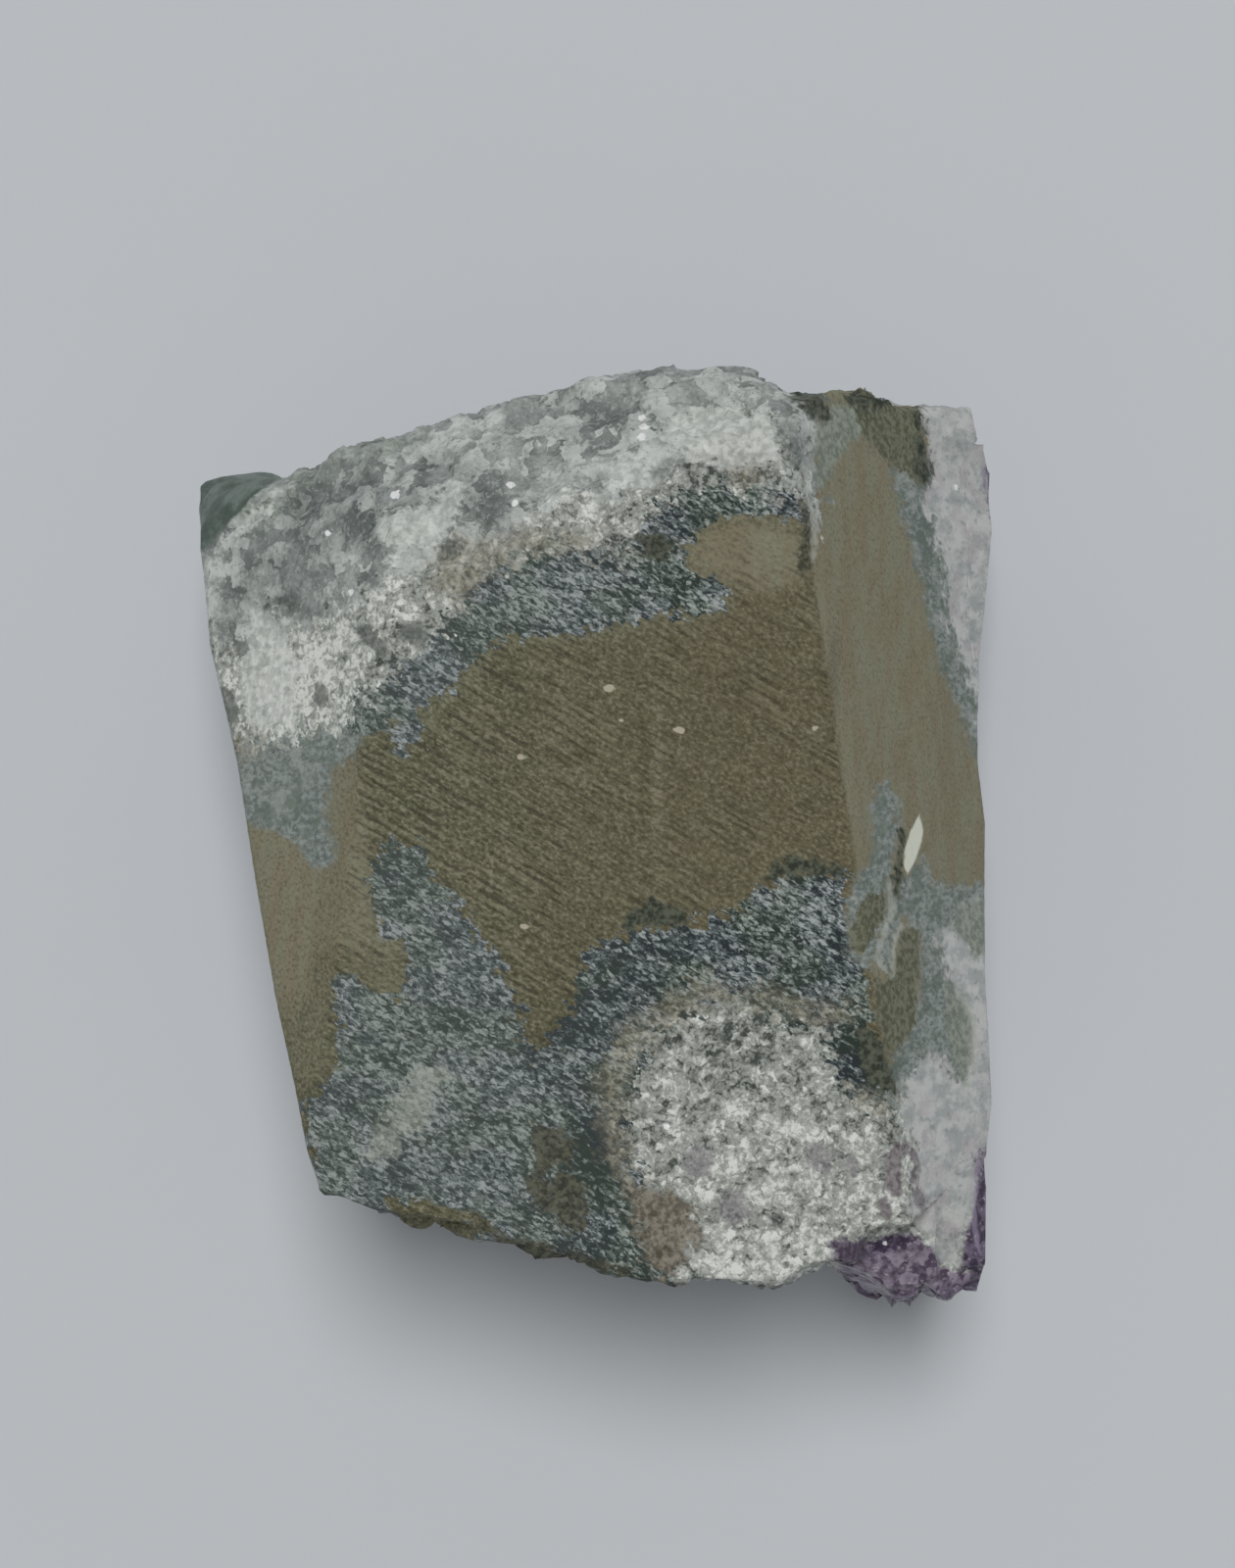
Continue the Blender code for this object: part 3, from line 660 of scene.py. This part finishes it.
class Shader(Nodes):
    """A material under construction."""

    def __init__(self, name):
        self.material = bpy.data.materials.new(name)
        self.material.use_nodes = True
        super().__init__(self.material.node_tree)
        self.noises = {}
        self.place = self.vector("MULTIPLY", self.node("TexCoord").outputs["Object"], (1.0 / MM,) * 3)

    def set(self, name, value):
        self.put(self.tree.nodes["Principled BSDF"].inputs[name], value)

    def vector(self, operation, *values):
        made = self.node("VectorMath", dict(enumerate(values)), operation=operation)
        return made.outputs["Value" if operation == "DISTANCE" else "Vector"]

    def math(self, operation, *values):
        return self.node("Math", dict(enumerate(values)), operation=operation).outputs[0]

    def times(self, a, b):
        return self.math("MULTIPLY", a, b)

    def total(self, start, *terms):
        """A value plus others, each times its weight."""
        for value, weight in terms:
            if weight:
                start = self.math("MULTIPLY_ADD", value, weight, start)
        return start

    def ramp(self, value, low, high, out_low=0.0, out_high=1.0):
        """A smooth step from out_low where value is low to out_high where it is high."""
        inputs = {"Value": value, "From Min": low, "From Max": high, "To Min": out_low, "To Max": out_high}
        return self.node("MapRange", inputs, interpolation_type="SMOOTHSTEP").outputs[0]

    def mix(self, factor, a, b):
        """A mix of two colours. A colour of three numbers is one as the photo shows it."""
        a, b = (albedo(c) if isinstance(c, tuple) and len(c) == 3 else c for c in (a, b))
        return self.node("Mix", {0: factor, 6: a, 7: b}, data_type="RGBA").outputs[2]

    def blend(self, factor, a, b):
        """A mix of two numbers."""
        return self.node("Mix", {0: factor, 2: a, 3: b}).outputs[0]

    def stretched(self, angle, along, across=1.0):
        """The place turned about Z and stretched, for marks that run one way."""
        inputs = {"Vector": self.place, "Rotation": (0.0, 0.0, math.radians(angle)),
                  "Scale": (along, across, across)}
        return self.node("Mapping", inputs, vector_type="TEXTURE").outputs[0]

    def noise(self, size, detail=2.0, roughness=0.5, place=None, output="Fac"):
        """Noise whose lumps are about as big as size. The same noise is made only once."""
        place = place or self.place
        key = (size, detail, roughness, place.node.name)
        if key not in self.noises:
            inputs = {"Vector": place, "Scale": 1.0 / size, "Detail": detail, "Roughness": roughness}
            self.noises[key] = self.node("TexNoise", inputs)
        return self.noises[key].outputs[output]

    def warped(self, size, amount, place=None):
        """The place pushed about by about amount, in lumps as big as size."""
        push = self.vector("SUBTRACT", self.noise(size, 2.0, 0.6, place, "Color"), (0.5, 0.5, 0.5))
        return self.vector("MULTIPLY_ADD", push, (4.0 * amount,) * 3, place or self.place)

    def cells(self, size, place):
        """Distance to the middle of the nearest of many cells, and a random number of its own."""
        made = self.node("TexVoronoi", {"Vector": place, "Scale": 1.0 / size})
        own = self.node("SeparateColor", {0: made.outputs["Color"]})
        return made.outputs["Distance"], own.outputs[0]

    def attribute(self, name):
        return self.node("Attribute", attribute_name=name).outputs["Fac"]

    def bump(self, height, distance, strength):
        """A normal from a height of 0 to 1 that stands for a distance."""
        inputs = {"Distance": distance * MM, "Strength": strength, "Height": height}
        return self.node("Bump", inputs).outputs["Normal"]


class RockShader(Shader):
    """The wall rock's material, with what its parts share."""

    def __init__(self, name):
        super().__init__(name)
        self.along_marks = self.along_saw(1.45)
        self.flat = self.vector("MULTIPLY", self.place, (1.0, 1.0, 0.3))
        self.ragged = self.math("SUBTRACT", self.noise(0.42, 3.0, 0.65, self.along_marks), 0.5)
        self.wavy = self.math("SUBTRACT", self.noise(1.7), 0.5)
        self.lobed = self.math("SUBTRACT", self.noise(0.8, 3.0, 0.6, self.along_marks), 0.5)
        self.tone = self.attribute("tone")

    def along_saw(self, along, across=1.0):
        """The place stretched along the saw's marks."""
        return self.stretched(-SAW_MARK_ANGLE, along, across)

    def zone(self, name, soft, *ripples):
        """Where a zone is. Its border is soft, and may be ragged, lobed and wavy by so many millimetres."""
        waves = (self.ragged, self.lobed, self.wavy)
        terms = [(wave, RIPPLE * height) for wave, height in zip(waves, ripples)]
        return self.ramp(self.total(self.attribute(name), *terms), -soft, soft)

    def spots(self, places, stretch=1.0):
        """Small spots on the back, by place and radius in the photo's pixels, stretched along x."""
        flat = self.vector("MULTIPLY", self.place, (1.0 / stretch, 1.0, 0.0))
        nearest = FAR_AWAY
        for (x, y), radius in places:
            x = (x - CAMERA_PIXEL[0]) * MM_PER_PIXEL + TO_BOX_CENTRE[0]
            y = (CAMERA_PIXEL[1] - y) * MM_PER_PIXEL + TO_BOX_CENTRE[1]
            away = self.vector("DISTANCE", flat, (x / stretch, y, 0.0))
            nearest = self.math("MINIMUM", nearest, self.math("SUBTRACT", away, radius * MM_PER_PIXEL))
        return self.ramp(self.total(nearest, (self.ragged, 0.5)), SPOT_EDGE, -SPOT_EDGE)

    def mottled(self, size, low, high):
        return self.mix(self.ramp(self.noise(size, 3.0, 0.6), 0.38, 0.62), low, high)

    def brown(self):
        """The basalt: olive at the left and browner at the right, paler on the sloping cuts, with clouds and
        a painted highlight along the right ridge.
        """
        left = self.attribute("left half")
        sloping = self.attribute("sloping cut")
        colour = self.mix(left, (90, 84, 64), (85, 85, 66))
        clouds = self.ramp(self.noise(2.6, 3.0, 0.6), 0.38, 0.62, 0.0, 0.5)
        colour = self.mix(clouds, colour, (87, 84, 65))
        halo = self.ramp(self.attribute("speckle"), -0.8, -0.1, 0.0, 0.4)
        halo = self.times(halo, self.ramp(self.axis(self.place, "Y"), 4.0, 6.0))
        colour = self.mix(halo, colour, (106, 107, 89))
        lighter = self.ramp(self.noise(1.1, place=self.stretched(80.0, 4.0)), 0.4, 0.62)
        paler = self.mix(lighter, (113, 107, 88), (115, 114, 96))
        # Painted highlight: a paler strip along the right ridge
        paler = self.mix(self.times(self.attribute("ridge"), 0.16), paler, (136, 134, 115))
        paler = self.mix(self.ramp(self.tone, -0.02, -0.2), paler, (98, 93, 75))
        colour = self.mix(sloping, colour, paler)
        return self.saw_marks(self.grain(colour, left, sloping), left)

    def grain(self, colour, left, sloping):
        """Pale grains and dark pits, weaker on the sloping cuts and at the right."""
        grain = self.total(self.noise(0.17, 3.0, 0.7, self.along_marks), (self.tone, 0.5))
        rough = self.times(self.total(1.0, (sloping, -0.4)), self.total(0.8, (left, 0.25)))
        pale = self.times(self.ramp(grain, 0.5, 0.66, 0.0, 0.6), rough)
        pits = self.times(self.ramp(grain, 0.5, 0.34, 0.0, 0.7), rough)
        return self.mix(pits, self.mix(pale, colour, (133, 129, 111)), (49, 46, 32))

    def saw_marks(self, colour, left):
        """Dark and pale grooves on the level back, worn away in places."""
        across = self.axis(self.along_saw(1.0), "Y")
        sway = self.times(self.noise(0.9, 2.0, 0.6, self.along_saw(5.0)), 14.0)
        grooves = self.math("SINE", self.total(sway, (across, math.tau / SAW_MARK_SPACING)))
        streaks = self.noise(0.22, 2.0, 0.6, self.along_saw(11.0))
        marks = self.total(self.times(grooves, 0.34), (streaks, 3.2))
        kept = self.ramp(self.total(self.noise(2.4), (left, 0.14)), 0.42, 0.68, 0.1, 1.0)
        kept = self.times(self.attribute("level back"), kept)
        dark = self.times(self.ramp(marks, 1.5, 1.0, 0.0, 0.6), kept)
        light = self.times(self.ramp(marks, 1.7, 2.2, 0.0, 0.3), kept)
        return self.mix(light, self.mix(dark, colour, (52, 49, 38)), (128, 124, 104))

    def speckle(self):
        """The rind: curly pale grains with blue-black and dark green between them, lined up by the saw."""
        place = self.warped(0.24, 0.1, self.along_saw(1.9, 0.95))
        away, own = self.cells(0.18, place)
        curls = self.noise(0.16, 3.0, 0.65, place)
        clumps = self.noise(1.3, place=self.along_marks)
        shade = self.total(self.tone, (curls, 1.0), (own, 0.3), (clumps, 0.3), (away, -0.2))
        tint = self.noise(2.6, 1.0)
        dark = self.mix(self.ramp(tint, 0.42, 0.58), (36, 43, 45), (39, 48, 43))
        middle = self.mix(self.ramp(tint, 0.45, 0.6), (85, 93, 93), (86, 95, 89))
        pale = self.mix(self.ramp(tint, 0.35, 0.65), (148, 153, 154), (142, 149, 143))
        colour = self.mix(self.ramp(shade, 0.56, 0.74), dark, middle)
        colour = self.mix(self.ramp(shade, 0.7, 0.92), colour, pale)
        return self.mix(self.times(self.attribute("left half"), 0.22), colour, (98, 106, 102))

    def smooth_rind(self):
        """The rind on the sloping cuts: grey-blue, with dark green patches and paler grains."""
        shade = self.total(self.tone, (self.noise(0.26, 3.0, 0.7, self.flat), 1.0))
        colour = self.mix(self.ramp(shade, 0.35, 0.65), (90, 98, 94), (130, 137, 133))
        grey = self.ramp(self.noise(1.5, place=self.flat), 0.5, 0.7, 0.0, 0.4)
        colour = self.mix(grey, colour, (146, 150, 146))
        patches = self.ramp(self.noise(0.9, 3.0, 0.5, self.flat), 0.5, 0.36, 0.0, 0.6)
        return self.mix(patches, colour, (84, 94, 84))

    def pale(self):
        """Smooth, cloudy quartz at the right edge: lilac grey, faintly pink, with small darker spots."""
        clouds = self.noise(0.9, 3.0, 0.6, self.flat)
        colour = self.mix(self.ramp(clouds, 0.36, 0.6), (142, 146, 145), (170, 172, 169))
        pink = self.ramp(self.noise(1.4, place=self.flat), 0.48, 0.66, 0.0, 0.6)
        colour = self.mix(pink, colour, (160, 153, 155))
        veins = self.noise(0.4, 3.0, 0.6, self.flat)
        colour = self.mix(self.ramp(veins, 0.46, 0.3, 0.0, 0.6), colour, (116, 119, 118))
        return self.mix(self.ramp(veins, 0.56, 0.7, 0.0, 0.5), colour, (184, 182, 180))

    def white(self):
        """Granular quartz: off white grains, dirtier near the rind, with clearer and darker spots and partly
        painted shade between grains.
        """
        place = self.warped(0.5, 0.22)
        away, own = self.cells(0.37, place)
        grains = self.noise(0.26, 3.0, 0.65, place)
        patches = self.noise(1.4, 3.0, 0.6)
        dirt = self.ramp(self.attribute("white"), 0.0, 3.0, 0.08, 0.02)
        # Each grain darkens towards its edge: partly clearer quartz there, partly painted shade in the gaps
        # between grains
        shade = self.total(self.tone, (grains, 0.62), (own, 0.17), (patches, 0.63), (away, -0.16),
                           (dirt, -1.0))
        colour = self.mix(self.ramp(shade, 0.37, 0.6), (54, 59, 54), (138, 141, 135))
        return self.mix(self.ramp(shade, 0.57, 0.78), colour, (196, 198, 192))

    def glass(self):
        """Broken glassy quartz, with how far a place is from its chip's middle.

        Its chips are of different greys, with dark pits and pale bruises.
        """
        away, own = self.cells(1.2, self.warped(1.0, 0.5))
        shade = self.total(self.tone, (self.noise(1.4), 0.5), (own, 0.42))
        colour = self.mix(self.ramp(shade, 0.12, 0.76), (88, 94, 92), (174, 178, 174))
        colour = self.mix(self.ramp(away, 0.5, 0.8, 0.0, 0.3), colour, (84, 90, 86))
        fine = self.noise(0.3, 3.0, 0.65, self.warped(0.5, 0.22))
        colour = self.mix(self.ramp(fine, 0.55, 0.64, 0.0, 0.4), colour, (176, 180, 175))
        return self.mix(self.ramp(fine, 0.45, 0.36, 0.0, 0.45), colour, (76, 82, 78)), away


def rock_material():
    shader = RockShader("wall rock")
    brown = shader.brown()
    glass, chip = shader.glass()
    fills = {"speckle": shader.speckle(), "blue": shader.smooth_rind(), "white": shader.white(),
             "glass": glass, "pale quartz": shader.pale(), "brown": brown, "spindle": SPINDLE_SEEN,
             "vein": VEIN_SEEN}
    colour = shader.mix(shader.spots(FLECKS, FLECK_STRETCH), brown, FLECK_SEEN)
    where = {}
    for name, border, share, *mottles in LAYERS:
        where[name] = shader.times(shader.zone(name, *border), share)
        fill = fills[name] if name in fills else shader.mottled(*mottles)
        colour = shader.mix(where[name], colour, fill)
    # Painted highlights: near-white glint spots in the base colour
    glints = shader.spots(PAINTED_GLINTS)
    shader.set("Base Color", shader.mix(glints, colour, PAINTED_GLINT_COLOUR))
    rough = shader.blend(where["glass"], shader.blend(where["white"], 0.85, 0.6), 0.42)
    rough = shader.blend(where["pale quartz"], rough, 0.4)
    shader.set("Roughness", shader.blend(glints, rough, 0.08))
    shader.set("Specular IOR Level", 0.3)
    shader.set("IOR", 1.5)
    chipped = shader.ramp(shader.attribute("glass"), -0.6, 0.6, 0.0, 4.0)
    height = shader.math("MULTIPLY_ADD", chip, chipped, shader.noise(0.3, 2.0, 0.6))
    shader.set("Normal", shader.bump(height, 0.07, 0.7))
    return shader.material


def zone_distances(points, wall):
    """Distance to each zone's border: rinds reach under the quartz beside them, and walls have layers."""
    pixels = to_pixels(points)
    zones = {name: signed_zone(name, pixels) for name in ZONES}
    for name, beside in SHARED_BORDERS:
        apart = np.minimum(zones[name] + zones[beside], 0.0)
        shared = np.minimum(zones[name], zones[beside]) + BORDER_OVERLAP + BORDER_END * apart
        zones[name] = np.maximum(zones[name], shared)
    clean = CLEAN_CUT * smoothstep(zones["clean cut"], -0.1, 0.3)
    zones["white"] -= clean
    zones["speckle"] -= clean
    sway = 0.9 * np.sin(points[:, 0] / 2.9) + 0.7 * np.sin(points[:, 1] / 2.3 + 1.0)
    for name, level in WALL_LEVELS.items():
        zones[name] = np.where(wall, np.maximum(zones[name], level + sway - points[:, 2]), zones[name])
    above_rind = points[:, 2] - WALL_LEVELS["speckle"] - sway
    for name in IN_BROWN_ROCK:
        zones[name] = np.where(wall, np.minimum(zones[name], above_rind), zones[name])
    return zones


def smoothness(pixels, back, under_cut, smooth_brown):
    """How much each point has the smooth, pale look of the sloping cuts."""
    left = pixels[:, 0] < LEFT_CUT_END
    sloping = smoothstep((back - under_cut) / np.where(left, LEFT_TURN, RIGHT_TURN), 0.0, 1.0)
    sloping *= 1.0 - 0.6 * left * smoothstep(pixels[:, 1], *ROUGHER_SLOPE)
    smooth_brown = 0.85 * smoothstep(smooth_brown, -0.4, 0.6)
    smooth_brown *= 1.0 - 0.5 * smoothstep(pixels[:, 1], *ROUGHER_BROWN)
    return np.maximum(sloping, smooth_brown)


def tone(pixels):
    """How much paler or darker each point is than its kind of rock."""
    total = np.zeros(len(pixels))
    for (x, y), (across, down), amount in TONES:
        away = np.hypot((pixels[:, 0] - x) / across, (pixels[:, 1] - y) / down)
        total += amount * smoothstep(-away, -1.0, 0.0)
    return total


def wall_rock():
    """The rock with its rinds and white quartz, broken where it isn't sawn."""
    mesh = remeshed("matrix", VOXEL)
    points = positions(mesh)
    normals = vertex_normals(mesh)
    back, under_cut = depth_under_cuts(points)
    pixels = to_pixels(points)
    broken = smoothstep(under_cut, 0.05, 0.9)
    broken *= 1.0 - 0.85 * smoothstep(signed_zone("corner facet", pixels), -0.6, 0.2)
    broken *= 1.0 - 0.5 * smoothstep(signed_zone("glass", pixels), -1.0, 0.5)
    points += normals * (relief(points, *ROCK_RELIEF) * broken)[:, None]
    points = follow_edges(points)
    set_positions(mesh, points)
    pixels = to_pixels(points)
    zones = zone_distances(points, (normals[:, 2] < 0.2) & (back > 1.0))
    for name, distance in zones.items():
        set_attribute(mesh, name, distance)
    set_attribute(mesh, "level back", smoothstep(0.12 - back, -0.1, 0.1))
    set_attribute(mesh, "left half", 1.0 - smoothstep(pixels[:, 0], *LEFT_HALF))
    set_attribute(mesh, "sloping cut", smoothness(pixels, back, under_cut, zones["smooth brown"]))
    # A paler strip on the right cut just under the ridge: painted highlight
    ridge = smoothstep(back, 0.05, 0.4) * (1.0 - smoothstep(back, 0.5, 1.5))
    ridge *= (pixels[:, 0] > RIGHT_CUT_START) * smoothstep(-under_cut, -0.3, -0.1)
    set_attribute(mesh, "ridge", ridge)
    set_attribute(mesh, "tone", tone(pixels))
    mesh.polygons.foreach_set("use_smooth", [True] * len(mesh.polygons))
    mesh.materials.append(rock_material())
    add_piece("wall_rock", mesh, "matrix")


def crystal_material():
    """Clear amethyst, paler at the roots, with fine growth lines across the crystals."""
    shader = Shader("amethyst")
    level = shader.total(shader.axis(shader.place, "Z"), (shader.noise(2.4), 4.0))
    shader.set("Base Color", shader.mix(shader.ramp(level, 4.0, 14.0), TIP_COLOUR, ROOT_COLOUR))
    shader.set("Roughness", shader.ramp(shader.noise(1.5, 3.0), 0.4, 0.7, 0.05, 0.22))
    shader.set("IOR", QUARTZ_IOR)
    shader.set("Transmission Weight", 0.85)
    lines = shader.noise(0.3, 2.0, 0.6, shader.vector("MULTIPLY", shader.place, (0.08, 0.08, 1.0)))
    shader.set("Normal", shader.bump(lines, 0.03, 0.5))
    absorption = shader.node("VolumeAbsorption", {"Color": ABSORPTION_COLOUR, "Density": ABSORPTION_DENSITY})
    shader.put(shader.tree.nodes["Material Output"].inputs["Volume"], absorption.outputs[0])
    return shader.material


def root_material():
    """Quartz at the crystals' roots and on saw cuts through them: milky, but violet near their faces."""
    shader = RockShader("amethyst roots")
    milky = shader.mix(shader.zone("pale quartz", *PALE_BORDER), shader.white(), shader.pale())
    _, own = shader.cells(0.5, shader.warped(0.5, 0.16))
    shade = shader.ramp(shader.total(shader.times(shader.noise(0.5, 3.0), 0.7), (own, 0.3)), 0.34, 0.66)
    violet = shader.mix(shade, (74, 63, 78), (131, 122, 134))
    violet = shader.mix(shader.attribute("deep"), violet, shader.mix(shade, (52, 42, 59), (98, 88, 106)))
    sugar = shader.ramp(shader.noise(0.3, 2.0, 0.6), 0.58, 0.7, 0.0, 0.5)
    violet = shader.mix(sugar, violet, (168, 162, 170))
    sawn = shader.attribute("sawn")
    rings = shader.total(shader.times(shader.attribute("depth"), 6.5), (shader.noise(1.4), 5.0))
    rings = shader.times(shader.ramp(shader.math("SINE", rings), -0.2, 1.0, 0.0, 0.45), sawn)
    violet = shader.mix(rings, violet, (150, 138, 160))
    share = shader.ramp(shader.total(shader.attribute("violet"), (shader.ragged, 1.4)), 0.2, 0.8)
    colour = shader.mix(share, milky, violet)
    # Painted highlights: near-white glint spots in the base colour
    shader.set("Base Color", shader.mix(shader.spots(PAINTED_GLINTS), colour, PAINTED_GLINT_COLOUR))
    shader.set("Roughness", shader.blend(sawn, 0.22, 0.45))
    shader.set("Specular IOR Level", 0.15)
    shader.set("Normal", shader.bump(shader.noise(0.3, 3.0, 0.6), 0.05, 0.6))
    return shader.material


def node_faces(node):
    """The triangles of a solid of the frame, joined along their edges."""
    made = bmesh.new()
    made.from_mesh(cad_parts[node].data)
    bmesh.ops.remove_doubles(made, verts=made.verts[:], dist=JOIN_WITHIN * MM)
    bmesh.ops.triangulate(made, faces=made.faces[:])
    return made


def refine(made, longest, kind):
    """Halves the edges of the triangles of one kind until none is longer than longest."""
    for _ in range(REFINE_ROUNDS):
        long_edges = [e for e in made.edges if e.calc_length() > longest * MM
                      and any(f.material_index == kind for f in e.link_faces)]
        for edge in sorted(long_edges, key=lambda e: -e.calc_length()):
            across = [(f, next(v for v in f.verts if v not in edge.verts)) for f in edge.link_faces]
            _, middle = bmesh.utils.edge_split(edge, edge.verts[0], 0.5)
            for face, corner in across:
                bmesh.utils.face_split(face, middle, corner)


def face_on_cut(face):
    """Whether a face of the crystals was sawn."""
    middle = np.array(face.calc_center_median()) / MM
    return any(abs((middle - place) @ normal) < 0.08 and np.array(face.normal) @ normal > 0.98
               for place, normal in cut_planes())


def in_corner(place, normal):
    """Whether a face lies in the corner that the photo shows, and looks up."""
    x, y = to_pixels(np.array(place)[None] / MM)[0]
    return x > CORNER[0] and y > CORNER[1] and place.z > CORNER_LOW * MM and normal.z > -0.2


def growth_surface():
    """The crystals' own faces, to measure the distance from them."""
    outside = node_faces("amethyst_crystals")
    inner = [f for f in outside.faces if f.calc_center_median().z > SLAB_LOW * MM or face_on_cut(f)]
    bmesh.ops.delete(outside, geom=inner, context="FACES")
    return BVHTree.FromBMesh(outside)


def crystal_faces():
    """The crystals' faces by kind, fine at the roots and drawn to the rock where they meet it."""
    made = node_faces("amethyst_crystals")
    rock = BVHTree.FromBMesh(node_faces("matrix"))
    bmesh.ops.bisect_plane(made, geom=made.verts[:] + made.edges[:] + made.faces[:], dist=JOIN_WITHIN * MM,
                           plane_co=(0.0, 0.0, SLAB_LOW * MM), plane_no=(0.0, 0.0, 1.0))
    bmesh.ops.triangulate(made, faces=made.faces[:])
    for face in made.faces:
        middle = face.calc_center_median()
        near = rock.find_nearest(middle, ROCK_NEAR[0] * MM)[0]
        hidden = near is not None and (near - middle).dot(face.normal) > 0.2 * MM
        root = middle.z > SLAB_LOW * MM or face_on_cut(face) or in_corner(middle, face.normal)
        face.material_index = CRYSTAL if not root else HIDDEN if hidden else ROOT
        face.smooth = False
    refine(made, ROOT_EDGE, ROOT)
    for vertex in made.verts:
        near = rock.find_nearest(vertex.co, ROCK_NEAR[1] * MM)[0]
        if near is not None:
            gap = near - vertex.co
            share = 1.0 - smoothstep(gap.length / MM, *ROCK_NEAR)
            vertex.co += (gap + gap.normalized() * INTO_ROCK * MM) * share
    for face in made.faces:
        face.material_index = min(face.material_index, ROOT)
    made.normal_update()
    return made


def amethyst():
    """The crystals with the quartz that joins them."""
    growth = growth_surface()
    made = crystal_faces()
    mesh = bpy.data.meshes.new("amethyst")
    made.to_mesh(mesh)
    made.free()
    points = positions(mesh)
    normals = vertex_normals(mesh)
    _, under_cut = depth_under_cuts(points)
    loose = 0.5 * smoothstep(under_cut, 0.05, 0.5) * smoothstep(points[:, 2], SLAB_LOW, SLAB_LOW + 1.0)
    points += normals * (relief(points, *ROOT_RELIEF) * loose)[:, None]
    for place, normal in cut_planes():
        points -= np.maximum((points - place) @ normal + UNDER_CUT, 0.0)[:, None] * normal
    points = follow_edges(points)
    set_positions(mesh, points)
    depth = np.array([growth.find_nearest(Vector(p * MM))[3] / MM for p in points])
    pixels = to_pixels(points)
    violet = (1.0 - smoothstep(depth, 0.8, 4.0)) * (1.0 - smoothstep(points[:, 2], 10.6, 12.4))
    corner = (pixels[:, 0] > CORNER[0]) & (pixels[:, 1] > CORNER[1]) & (points[:, 2] > CORNER_LOW)
    stained = smoothstep(signed_zone("purple", pixels), -0.2, 0.4)
    violet = np.where(corner, np.maximum(violet * (normals[:, 2] < 0.1), stained), violet)
    deep = smoothstep(signed_zone("deep purple", pixels), -0.1, 0.25)
    deep = np.where(corner, deep, 1.0 - smoothstep(depth, 0.6, 2.6))
    for name in ("white", "pale quartz"):
        set_attribute(mesh, name, signed_zone(name, pixels))
    sawn = smoothstep(-under_cut, -0.1, 0.0)
    for name, values in (("deep", deep), ("depth", depth), ("violet", violet), ("sawn", sawn)):
        set_attribute(mesh, name, values)
    mesh.materials.append(crystal_material())
    mesh.materials.append(root_material())
    add_piece("amethyst_points", mesh, "amethyst_crystals")


def floor():
    mesh = bpy.data.meshes.new("floor")
    made = bmesh.new()
    bmesh.ops.create_circle(made, cap_ends=True, segments=96, radius=FLOOR_RADIUS)
    made.to_mesh(mesh)
    made.free()
    shader = Shader("floor")
    clouds = shader.noise(60.0)
    shader.set("Base Color", shader.mix(clouds, albedo(FLOOR_SEEN, 0.98), albedo(FLOOR_SEEN, 1.02)))
    shader.set("Roughness", 0.9)
    shader.set("Specular IOR Level", 0.1)
    mesh.materials.append(shader.material)
    add("floor", mesh)


def area_light(name, lean, size, share):
    """A soft light that leans towards the far edge by lean degrees and gives a share of the floor's light."""
    data = bpy.data.lights.new(name, "AREA")
    data.shape = "ELLIPSE"
    data.size, data.size_y = (2.0 * LIGHT_DISTANCE * math.tan(math.radians(half)) for half in size)
    lean = math.radians(lean)
    data.energy = share * FLOOR_LIGHT * (math.pi * LIGHT_DISTANCE) ** 2 / math.cos(lean)
    item = add(name, data)
    item.location = (0.0, LIGHT_DISTANCE * math.sin(lean), LIGHT_DISTANCE * math.cos(lean))
    item.rotation_euler = (-lean, 0.0, 0.0)


def light():
    """A long soft light over the far edge, a weaker one overhead and a pale room, brightest low down."""
    world = bpy.data.worlds.new("room")
    world.use_nodes = True
    nodes = Nodes(world.node_tree)
    height = nodes.axis(nodes.node("TexCoord").outputs["Generated"], "Z")
    inputs = {"Value": height, "From Min": 0.0, "From Max": 0.9, "To Min": ROOM_LOW, "To Max": ROOM_HIGH}
    background = world.node_tree.nodes["Background"]
    background.inputs["Color"].default_value = ROOM_COLOUR
    nodes.put(background.inputs["Strength"], nodes.node("MapRange", inputs).outputs[0])
    bpy.context.scene.world = world
    area_light("key", *KEY_LIGHT)
    area_light("fill", *FILL_LIGHT)


def camera():
    data = bpy.data.cameras.new("camera")
    data.sensor_width = SENSOR
    data.lens = SENSOR * CAMERA_HEIGHT / MM_PER_PIXEL / max(PHOTO_SIZE)
    data.clip_start = 0.01
    item = add("camera", data)
    item.location = (TO_BOX_CENTRE[0] * MM, TO_BOX_CENTRE[1] * MM, (HEIGHT + CAMERA_HEIGHT) * MM)
    bpy.context.scene.camera = item


camera()
floor()
light()
wall_rock()
amethyst()
bpy.context.scene.view_settings.view_transform = "Standard"
